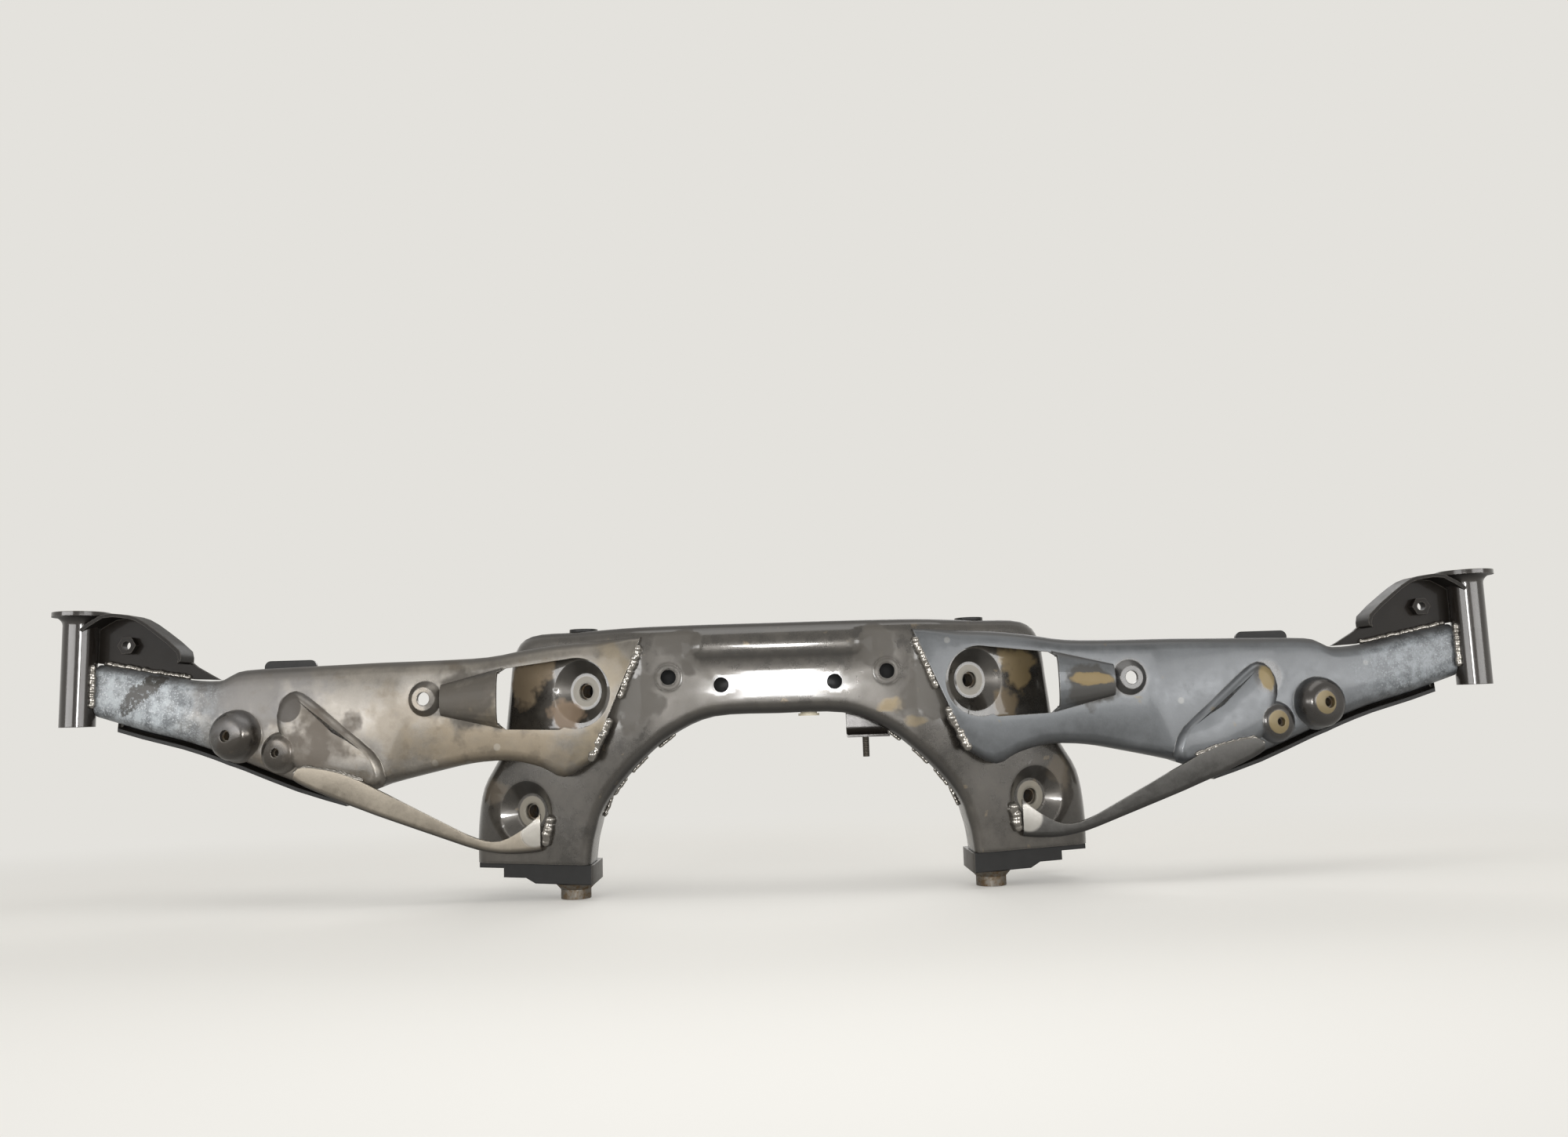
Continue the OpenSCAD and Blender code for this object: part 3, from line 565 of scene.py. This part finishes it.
def set_relief(coat, end_share, crown, edge_mm):
    """Heights in mm, on a normal that is rounded over edge_mm at the folds."""
    tree = coat.tree
    peel = add(tree, "ShaderNodeTexNoise", {"Scale": 1 / PEEL_MM, "Detail": 2.0}, Vector=coat.place)
    dents = add(tree, "ShaderNodeTexNoise", {"Scale": 1 / DENT_MM, "Detail": 1.0}, Vector=coat.place)
    waves = add(tree, "ShaderNodeMath", {"operation": "MULTIPLY"}, in_0=dents.outputs[0], in_1=DENT_HEIGHT)
    height = add(tree, "ShaderNodeMath", {"operation": "MULTIPLY_ADD"}, in_0=peel.outputs[0],
                 in_1=PEEL_HEIGHT, in_2=waves.outputs[0])
    if coat.grit:
        rise = add(tree, "ShaderNodeMath", {"operation": "MULTIPLY"}, in_0=coat.end_share,
                   in_1=GRIT_HEIGHT * end_share)
        height = add(tree, "ShaderNodeMath", {"operation": "MULTIPLY_ADD"}, in_0=coat.grit,
                     in_1=rise.outputs[0], in_2=height.outputs[0])
    if crown:
        middle = add(tree, "ShaderNodeMapRange", ARM_MIDDLE, Value=coat.out_by)
        off = add(tree, "ShaderNodeMath", {"operation": "SUBTRACT"}, in_0=coat.up, in_1=middle.outputs[0])
        square = add(tree, "ShaderNodeMath", {"operation": "MULTIPLY"}, in_0=off.outputs[0],
                     in_1=off.outputs[0])
        height = add(tree, "ShaderNodeMath", {"operation": "MULTIPLY_ADD"}, in_0=square.outputs[0],
                     in_1=-crown, in_2=height.outputs[0])
    soft_edge = add(tree, "ShaderNodeBevel", {"samples": 6, "Radius": edge_mm * MM})
    bump = add(tree, "ShaderNodeBump", {"Strength": 1.0, "Distance": MM}, Height=height.outputs[0],
               Normal=soft_edge.outputs[0])
    tree.links.new(bump.outputs[0], coat.shader.inputs["Normal"])


# %% The whole coat
def dipped_coat(name, paint, dust, dust_share, shine, metal, stains_and_shade=(), rings=(), slick_and_lit_spots=(), patch=(),
                end=None, drops=0.0, soft=0.09, streak=1.0, under_shade=0.85, crest=0.0, crest_from=-70,
                inner=0.0, gloss=0.2, bounce=0.5, crown=0.0, edge_mm=1.1):
    """Electrocoat with its dirt.

    shine is the roughness of the clean paint and metal its metallic share. The slick spots, rings and patch
    hold marks of (centre in mm, reach in mm, hex colour, strength), and the puddle marks, some of them
    painted shade, have a squeeze too. end is the frosty end's (share, start in mm, hex colour), a painted
    reflection with painted glints. streak below 1 draws the dust out along Z. The shares for undersides,
    top folds (crest) and what faces ahead (inner) are shares of painted shade. gloss is the clear layer's
    weight, bounce the strength of the plain reflection, and crown the fall of an arm's face, in mm per
    square mm.
    """
    coat = start_coat(name, paint, streak)
    lay_dust(coat, dust, dust_share)
    lay_slick_and_lit_spots(coat, slick_and_lit_spots)
    stain_and_shade(coat, stains_and_shade, soft)
    press_rings(coat, rings)
    if drops:
        dry_drops(coat, drops)
    if end:
        frost_end(coat, *end)
    if patch:
        darken_patch(coat, patch)
    true_normal = add(coat.tree, "ShaderNodeNewGeometry").outputs["Normal"]
    rub_edges(coat, true_normal)
    shade_sides(coat, true_normal, under_shade, crest, crest_from, inner)
    set_sheen(coat, shine, metal, gloss, bounce)
    set_relief(coat, end[0] if end else 0.0, crown, edge_mm)
    return coat.material


# %% [markdown]
# ## Places on the pressings
# Marks are placed by X and Z, as they are seen from the front, and two functions give the depth of the
# face there. The centre panel is flat in the middle and bends back at both wings, and the arms are swept
# back less.

# %% Places on the pressings
WING_SWEEP = math.radians(24)
ARM_SWEEP = math.radians(8)
FACE_AHEAD = 61
ARM_AHEAD = 64.3
ARM_FROM = 104
BEND_FROM = 96
BEND_LEN = 28
DISH = 8
SEATS = [(151, -76), (197, -167)]


def front_face(x):
    """Place in Y of the centre panel's face, in mm. The bend is a parabola between straight stretches."""
    into_bend = abs(x) - BEND_FROM
    slope = math.tan(WING_SWEEP)
    if into_bend < 0:
        back = 0
    elif into_bend < BEND_LEN:
        back = slope * into_bend ** 2 / (2 * BEND_LEN)
    else:
        back = slope * (into_bend - BEND_LEN / 2)
    return back - FACE_AHEAD


def arm_face(x):
    """Place in Y of an arm's front face, in mm."""
    return (abs(x) - ARM_FROM) * math.tan(ARM_SWEEP) - ARM_AHEAD


def on_centre(x, z, back=0.0):
    return (x, front_face(x) + back, z)


def on_arm(x, z, ahead=0.0):
    return (x, arm_face(x) - ahead, z)


seat_floors = []
for side in (-1, 1):
    for x, z in SEATS:
        inward = DISH * math.sin(WING_SWEEP)
        seat_floors.append((side * (x - inward), front_face(x) + DISH * math.cos(WING_SWEEP), z))
print(len(seat_floors), "link seats")

# %% [markdown]
# ## Centre box
# The link seats show a pale ring where the bolt's flange pressed, and tan stains around the dish. The
# face itself is the glossiest part of the frame, with its folds pressed round, so its edges are shaded
# wide and soft. The ends of the pressed bead and the bends to the wings collect dull dirt.

# %% Coat of the centre box
TAN = "#87744f"
SAND = "#85724a"
MUD = "#5e5343"
RING_REACH = 11.4
BEAD_END = (72, -47)
BEND_DIRT = (113, -86)
seat_rings = [(c, RING_REACH, "#8a8477", 0.75) for c in seat_floors]
centre_stains = [
    # centre, reach, colour, strength, squeeze
    (on_centre(-198, -68), 26, "#83735c", 0.8, 1),
    (on_centre(-178, -58), 16, "#83735c", 0.75, 1),
    (on_centre(-160, -96, 5), 20, "#85725e", 0.85, 1),
    (on_centre(-222, -150), 18, MUD, 0.5, 1),
    (on_centre(188, -70), 24, TAN, 0.6, 1),
    (on_centre(176, -96), 18, "#6f5e42", 0.6, 1),
    (on_centre(85, -93), 10, SAND, 0.5, 0.6),
    (on_centre(103, -106), 7, SAND, 0.35, 0.5),
    (on_centre(216, -148), 18, MUD, 0.5, 1),
]
for side in (-1, 1):
    centre_stains.append((on_centre(side * BEAD_END[0], BEAD_END[1]), 24, "#47433d", 0.9, 1))
    centre_stains.append((on_centre(side * BEND_DIRT[0], BEND_DIRT[1]), 38, "#4c4842", 0.85, 1))
# Glossy black epoxy: mirrors the lamps as a hard white streak
centre_coat = dipped_coat(
    "glossy_dusty_electrocoat", paint="#35322e", dust="#59534a", dust_share=0.4, shine=0.24, metal=0.55,
    stains_and_shade=centre_stains, rings=seat_rings, soft=0.25, gloss=1.0, crest=0.9, crest_from=-40, edge_mm=3.5,
)
# The same paint, more matt, with near-black painted shade on what faces ahead: inside the boxes and on the
# feet
rear_coat = dipped_coat(
    "matt_dusty_electrocoat", paint="#34312d", dust="#575148", dust_share=0.4, shine=0.36, metal=0.45,
    gloss=0.3, inner=1.0,
)
print(len(centre_stains), "stains on the centre panel")

# %% [markdown]
# ## Arms
# The left arm is covered with beige dust, and its coat is also lighter and warmer as a painted reflection
# of a pale wall. The right one has a bluer sheen, a painted reflection in its coat. So the two get a coat
# of their own. Bosses, dimple and the pad's lobe stand proud, and are dark and slick on both. Painted
# shade darkens the tapered bulge on both arms. On the right arm tan rust has settled on the bosses and
# the lobe, and a tan streak runs along the tapered bulge.

# %% Marks on both arms
DEEP = "#403c38"
RUST = "#7d6d45"
LARGE_BOSS = (423, -101.5)
SMALL_BOSS = (386, -115.5)
DIMPLE = (270, -78)
LOBE = (382, -80)


def proud_spots(side):
    """The dark, slick forms of one arm: both bosses, the dimple and the lobe of the pad."""
    return [
        (on_arm(side * LARGE_BOSS[0], LARGE_BOSS[1], 6), 17, DEEP, 0.85),
        (on_arm(side * SMALL_BOSS[0], SMALL_BOSS[1], 4), 12, DEEP, 0.8),
        (on_arm(side * DIMPLE[0], DIMPLE[1]), 13, DEEP, 0.6),
        (on_arm(side * LOBE[0], LOBE[1], 4), 12, DEEP, 0.5),
    ]


print(len(proud_spots(1)), "wiped spots on each arm")

# %% Coat of the left arm
PATCH_START = (-488, -51)
PATCH_STEP = (-4, -3.5)
PATCH_SPOTS = 8
left_stains_and_shade = [
    # centre, reach, colour, strength, squeeze
    (on_arm(-215, -116), 44, "#8a7a60", 0.5, 0.5),
    (on_arm(-140, -112), 30, "#857659", 0.45, 1),
    (on_arm(-128, -60), 24, "#857659", 0.4, 1),
    (on_arm(-290, -100), 40, "#7d705b", 0.35, 1),
    # Painted shade over the tapered bulge
    (on_arm(-236, -78, 8), 38, "#433e37", 0.9, 0.7),
    # Painted shade on the floor of a pocket
    (on_arm(-352, -114), 40, "#574f46", 0.85, 1),
    (on_arm(-412, -64), 56, "#616061", 0.55, 0.6),
]
left_rings = [(on_arm(-379, -81, 5), 11, "#45403b", 0.85)]
left_patch = []
for k in range(PATCH_SPOTS):
    x, z = (start + step * k for start, step in zip(PATCH_START, PATCH_STEP))
    left_patch.append((on_arm(x, z), 12, "#35332f", 0.85))
# Satin black epoxy under beige dust, with a painted reflection: a warm, cloudy sheen like brushed metal
left_arm_coat = dipped_coat(
    "beige_dust_and_sheen_electrocoat", paint="#6c6862", dust="#979085", dust_share=0.5, shine=0.3, metal=0.85,
    stains_and_shade=left_stains_and_shade, rings=left_rings, slick_and_lit_spots=proud_spots(-1), patch=left_patch, end=(0.8, 455, "#666c71"),
    drops=0.3, soft=0.4, under_shade=0.45, crest=0.7, crown=0.0018,
)
print(len(left_stains_and_shade), "stains and", len(left_patch), "patch spots on the left arm")

# %% Coat of the right arm
right_rings = [
    (on_arm(*LARGE_BOSS, 13), 8.5, RUST, 0.65),
    (on_arm(*SMALL_BOSS, 8), 8.5, RUST, 0.7),
]
right_stains_and_shade = [
    # centre, reach, colour, strength, squeeze
    (on_arm(381, -80, 6), 13, "#86744a", 0.75, 1),
    # Painted shade over the tapered bulge
    (on_arm(236, -84, 8), 24, "#37342f", 0.8, 0.6),
    (on_arm(238, -79, 8), 7, "#8a764c", 0.7, 0.13),
]
# Satin black epoxy with thin grey dust: a cool slate sheen, painted in as a reflection
right_arm_coat = dipped_coat(
    "slate_sheen_and_dust_electrocoat", paint="#57595b", dust="#6d7073", dust_share=0.5, shine=0.34, metal=0.75,
    stains_and_shade=right_stains_and_shade, rings=right_rings, slick_and_lit_spots=proud_spots(1), end=(0.35, 470, "#50565a"),
    drops=0.2, soft=0.2, under_shade=0.45, crest=0.7, crown=0.0012,
)
print(len(right_stains_and_shade), "stains on the right arm")

# %% [markdown]
# ## Sleeves, brackets and braces
# The sleeves are turned tube with a smooth black coat, and dust runs down them in streaks. The end
# brackets sit in shadow, and that shade is painted into their coat, which the end nuts share, so they are
# the blackest pieces. The braces have the dust of their arm, and their lower tips carry a painted
# highlight.

# %% Coats of the smaller pieces
BRACE_TIP = (188, -182)
BRACE_AHEAD = 7


def brace_tip(side):
    """The painted highlight on the lower tip of one brace."""
    tip = (side * BRACE_TIP[0], front_face(BRACE_TIP[0]) - BRACE_AHEAD, BRACE_TIP[1])
    # Pale and slick: a painted highlight
    return [(tip, 9, "#cfccc6", 0.75)]


# Glossy black epoxy on a turned tube: a narrow bright line down its length
sleeve_coat = dipped_coat(
    "glossy_black_electrocoat", paint="#26221f", dust="#453f37", dust_share=0.2, shine=0.2, metal=0.3,
    streak=0.15, gloss=0.5,
)
# Black epoxy that hardly mirrors anything, painted darker than the sleeves as the shade it sits in
bracket_coat = dipped_coat(
    "matt_black_electrocoat", paint="#1b1815", dust="#332e29", dust_share=0.3, shine=0.42, metal=0.0,
    gloss=0.05, bounce=0.08,
)
# The arms' satin epoxy on a plain strip: an even, dusty sheen, and a painted highlight at the lower tip
left_brace_coat = dipped_coat(
    "left_brace_electrocoat", paint="#7b7469", dust="#9f9687", dust_share=0.5, shine=0.3, metal=0.85,
    slick_and_lit_spots=brace_tip(-1), gloss=0.15,
)
right_brace_coat = dipped_coat(
    "right_brace_electrocoat", paint="#403f3d", dust="#5c5a57", dust_share=0.5, shine=0.32, metal=0.8,
    slick_and_lit_spots=brace_tip(1), gloss=0.15,
)
print(len(bpy.data.materials), "materials so far")


# %% Dressing the pieces
def dress(name, material):
    """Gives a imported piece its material."""
    nodes[name].data.materials.clear()
    nodes[name].data.materials.append(material)


dress("centre_front_panel", centre_coat)
dress("centre_rear_panel", rear_coat)
for side in ("left", "right"):
    dress(f"{side}_arm_rear_panel", rear_coat)
    dress(f"{side}_foot_bracket", rear_coat)
    dress(f"{side}_top_pad", rear_coat)
    dress(f"{side}_end_bracket", bracket_coat)
    dress(f"{side}_sleeve", sleeve_coat)
    # The end nuts take the bracket's coat, dark with its painted shade
    dress(f"{side}_end_nut", bracket_coat)
dress("left_arm_front_panel", left_arm_coat)
dress("right_arm_front_panel", right_arm_coat)
dress("left_lower_brace", left_brace_coat)
dress("right_lower_brace", right_brace_coat)
dress("cable_bracket", sleeve_coat)
print("dressed the pressings")

# %% [markdown]
# ## Nuts, bosses, stud and plug
# Weld nuts and turned bosses were dipped with the frame, but their faces were rubbed by bolts and have a
# thin brown film of rust. The stud's thread is too fine to model, so it is a wave along its length in the
# bump. The plug in the arch is the only plastic piece.

# %% Fasteners
RUST_FILM_MM = 4.0
# Rubbed steel: a dull grey shine, broken by matt brown rust
fastener, tree, shader = new_material("rubbed_steel_with_rust_film")
spot = add(tree, "ShaderNodeTexCoord").outputs["Object"]
place = add(tree, "ShaderNodeVectorMath", {"operation": "SCALE", "Scale": 1 / MM}, in_0=spot).outputs[0]
film = add(tree, "ShaderNodeTexNoise", {"Scale": 1 / RUST_FILM_MM, "Detail": 5.0, "Roughness": 0.65},
           Vector=place)
share = add(tree, "ShaderNodeMapRange", {"From Min": 0.42, "From Max": 0.62}, Value=film.outputs[0])
colour = add(tree, "ShaderNodeMix", {"data_type": "RGBA"}, in_0=share.outputs[0], in_6=linear("#6a655d"),
             in_7=linear("#5a4a36"))
tree.links.new(colour.outputs[2], shader.inputs["Base Color"])
shader.inputs["Metallic"].default_value = 0.6
rough = add(tree, "ShaderNodeMapRange", {"To Min": 0.35, "To Max": 0.7}, Value=share.outputs[0])
tree.links.new(rough.outputs[0], shader.inputs["Roughness"])
grit = add(tree, "ShaderNodeBump", {"Strength": 0.2, "Distance": 0.1 * MM}, Height=film.outputs[0])
tree.links.new(grit.outputs[0], shader.inputs["Normal"])
rusty = [name for name in nodes if name.endswith(("link_nut", "large_nut", "small_nut", "foot_boss"))]
for name in rusty:
    dress(name, fastener)
print(len(rusty), "nuts and bosses")

# %% Stud
# The pitch of 0.8 mm is drawn as 1.6 mm so that it shows. At scale 1 a wave's band repeats every tau / 20
PITCH_SHOWN_MM = 1.6
BAND_REPEAT = math.tau / 20
# Rolled thread in dull steel: small bright and dark rings
stud_steel, tree, shader = new_material("rolled_thread_steel")
shader.inputs["Base Color"].default_value = linear("#4d4841")
shader.inputs["Metallic"].default_value = 0.7
shader.inputs["Roughness"].default_value = 0.4
spot = add(tree, "ShaderNodeTexCoord").outputs["Object"]
turns = add(tree, "ShaderNodeTexWave",
            {"bands_direction": "Z", "Scale": BAND_REPEAT / (PITCH_SHOWN_MM * MM)}, Vector=spot)
groove = add(tree, "ShaderNodeBump", {"Strength": 0.8, "Distance": 0.5 * MM}, Height=turns.outputs[1])
tree.links.new(groove.outputs[0], shader.inputs["Normal"])
dress("cable_stud", stud_steel)
print("thread rings every", PITCH_SHOWN_MM, "mm")

# %% Plug
PLUG_SMEAR_MM = 6
# Moulded polyethylene: cream and waxy, with brown smears
plug_plastic, tree, shader = new_material("moulded_cream_polyethylene")
spot = add(tree, "ShaderNodeTexCoord").outputs["Object"]
smear = add(tree, "ShaderNodeTexNoise", {"Scale": 1 / (PLUG_SMEAR_MM * MM), "Detail": 3.0}, Vector=spot)
colour = add(tree, "ShaderNodeMix", {"data_type": "RGBA"}, in_0=smear.outputs[0], in_6=linear("#d9d3bf"),
             in_7=linear("#9b9079"))
tree.links.new(colour.outputs[2], shader.inputs["Base Color"])
shader.inputs["Roughness"].default_value = 0.55
dress("arch_plug", plug_plastic)
print(len(bpy.data.materials), "materials")

# %% [markdown]
# ## Weld beads
# A robot laid the beads that hold the pressings together, and the paint ran over them. A bead is a row of
# drops that froze one on the other. Here it is modelled the same way: drops of slightly different size
# are added along the joint in edit mode, and a voxel remesh melts them to one skin that is then smoothed
# a little.

# %% Weld metal
SLAG_MM = 3.0
# Weld metal under a thin coat: lumpy, glossy and full of small bright glints
weld_metal, tree, shader = new_material("painted_weld_metal")
spot = add(tree, "ShaderNodeTexCoord").outputs["Object"]
slag = add(tree, "ShaderNodeTexNoise", {"Scale": 1 / (SLAG_MM * MM), "Detail": 4.0, "Roughness": 0.6},
           Vector=spot)
colour = add(tree, "ShaderNodeMix", {"data_type": "RGBA"}, in_0=slag.outputs[0], in_6=linear("#56524d"),
             in_7=linear("#948f87"))
tree.links.new(colour.outputs[2], shader.inputs["Base Color"])
shader.inputs["Metallic"].default_value = 0.8
shine = add(tree, "ShaderNodeMapRange", {"To Min": 0.12, "To Max": 0.34}, Value=slag.outputs[0])
tree.links.new(shine.outputs[0], shader.inputs["Roughness"])
shader.inputs["Coat Weight"].default_value = 1.0
shader.inputs["Coat Roughness"].default_value = 0.06
ripple = add(tree, "ShaderNodeBump", {"Strength": 0.3, "Distance": 0.3 * MM}, Height=slag.outputs[0])
tree.links.new(ripple.outputs[0], shader.inputs["Normal"])
print("weld metal", weld_metal.name)

# %% Weld bead
DROP_STEP = 0.85
DROP_SHIFT = 0.15
DROP_SIZES = (0.9, 1.1)
VOXEL_MM = 0.55
SOFTENING = 3


def weld_bead(name, stops, radius, seed):
    """One bead along a path of stops, with its radius, in mm."""
    draw = random.Random(seed)
    drops = []
    for a, b in zip(stops, stops[1:]):
        count = max(2, round(math.dist(a, b) / (radius * DROP_STEP)))
        drops += [[p + (q - p) * k / count + draw.uniform(-DROP_SHIFT, DROP_SHIFT) * radius
                   for p, q in zip(a, b)] for k in range(count)]
    drops.append(stops[-1])
    bpy.ops.object.select_all(action="DESELECT")
    bpy.ops.mesh.primitive_ico_sphere_add(subdivisions=3, radius=radius * MM,
                                          location=[c * MM for c in drops[0]])
    bead = bpy.context.object
    bead.name = name
    bpy.ops.object.transform_apply(location=True, rotation=False, scale=False)
    bpy.ops.object.mode_set(mode="EDIT")
    for drop in drops[1:]:
        size = radius * draw.uniform(*DROP_SIZES) * MM
        bpy.ops.mesh.primitive_ico_sphere_add(subdivisions=3, radius=size, location=[c * MM for c in drop])
    bpy.ops.object.mode_set(mode="OBJECT")
    melt = bead.modifiers.new("melt", "REMESH")
    melt.voxel_size = VOXEL_MM * MM
    bpy.ops.object.modifier_apply(modifier="melt")
    soften = bead.modifiers.new("soften", "SMOOTH")
    soften.iterations = SOFTENING
    bpy.ops.object.modifier_apply(modifier="soften")
    bpy.ops.object.shade_smooth()
    bead.data.materials.append(weld_metal)
    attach(bead, "root")


# %% [markdown]
# ## Where the beads run
# Two thick beads close the slanted inner edge of each arm against the centre box. Thinner ones join the
# sleeve and the end bracket to the arm, and the brace's tongue to the arm's pad. A blob of weld sits
# beside the brace's lower tip, and short stitches follow the arch, where the two halves of the box
# overlap.

# %% Beads of each side
PAD_AHEAD = 6.3
TONGUE = [(371, -131), (364, -127), (335, -132), (318, -138)]
ARCH_STITCHES = [(82, -111), (104, -128), (120, -144), (131, -158), (140, -179)]
STITCH = 14
STITCH_Y = -20.5
STITCH_RADIUS = 1.6
BEAD_AHEAD = 1.6
BLOB_AHEAD = 1.5
made = 0
for side, word in ((-1, "left"), (1, "right")):
    beads = {
        # path on the right side, and radius
        "upper_arm_weld": ([on_centre(104, -46, -BEAD_AHEAD), on_centre(118.5, -80, -BEAD_AHEAD)], 3.2),
        "lower_arm_weld": ([(127.5, -57.5, -99), (141, -56, -126)], 3.6),
        "sleeve_weld": ([(544.6, -4.2, -44), (544.6, -4.2, -74)], 2.6),
        "end_bracket_weld": ([(474, 7, -53.8), (505, 7, -48), (540, 7, -40.9)], 2.6),
        "brace_weld": ([on_arm(x, z, PAD_AHEAD) for x, z in TONGUE], 2.2),
        "leg_weld": ([on_centre(177, -173, -BLOB_AHEAD), on_centre(180, -189, -BLOB_AHEAD)], 4.0),
    }
    for number, (p, q) in enumerate(zip(ARCH_STITCHES, ARCH_STITCHES[1:])):
        along = STITCH / math.dist(p, q)
        end = [a + (b - a) * along for a, b in zip(p, q)]
        path = [(p[0], STITCH_Y, p[1]), (end[0], STITCH_Y, end[1])]
        beads[f"arch_stitch_{number + 1}"] = (path, STITCH_RADIUS)
    for name, (stops, radius) in beads.items():
        weld_bead(f"{word}_{name}", [(side * x, y, z) for x, y, z in stops], radius, 100 * side + made)
        made += 1
print(made, "weld beads")

# %% Finish
bpy.context.scene.view_settings.view_transform = "Standard"
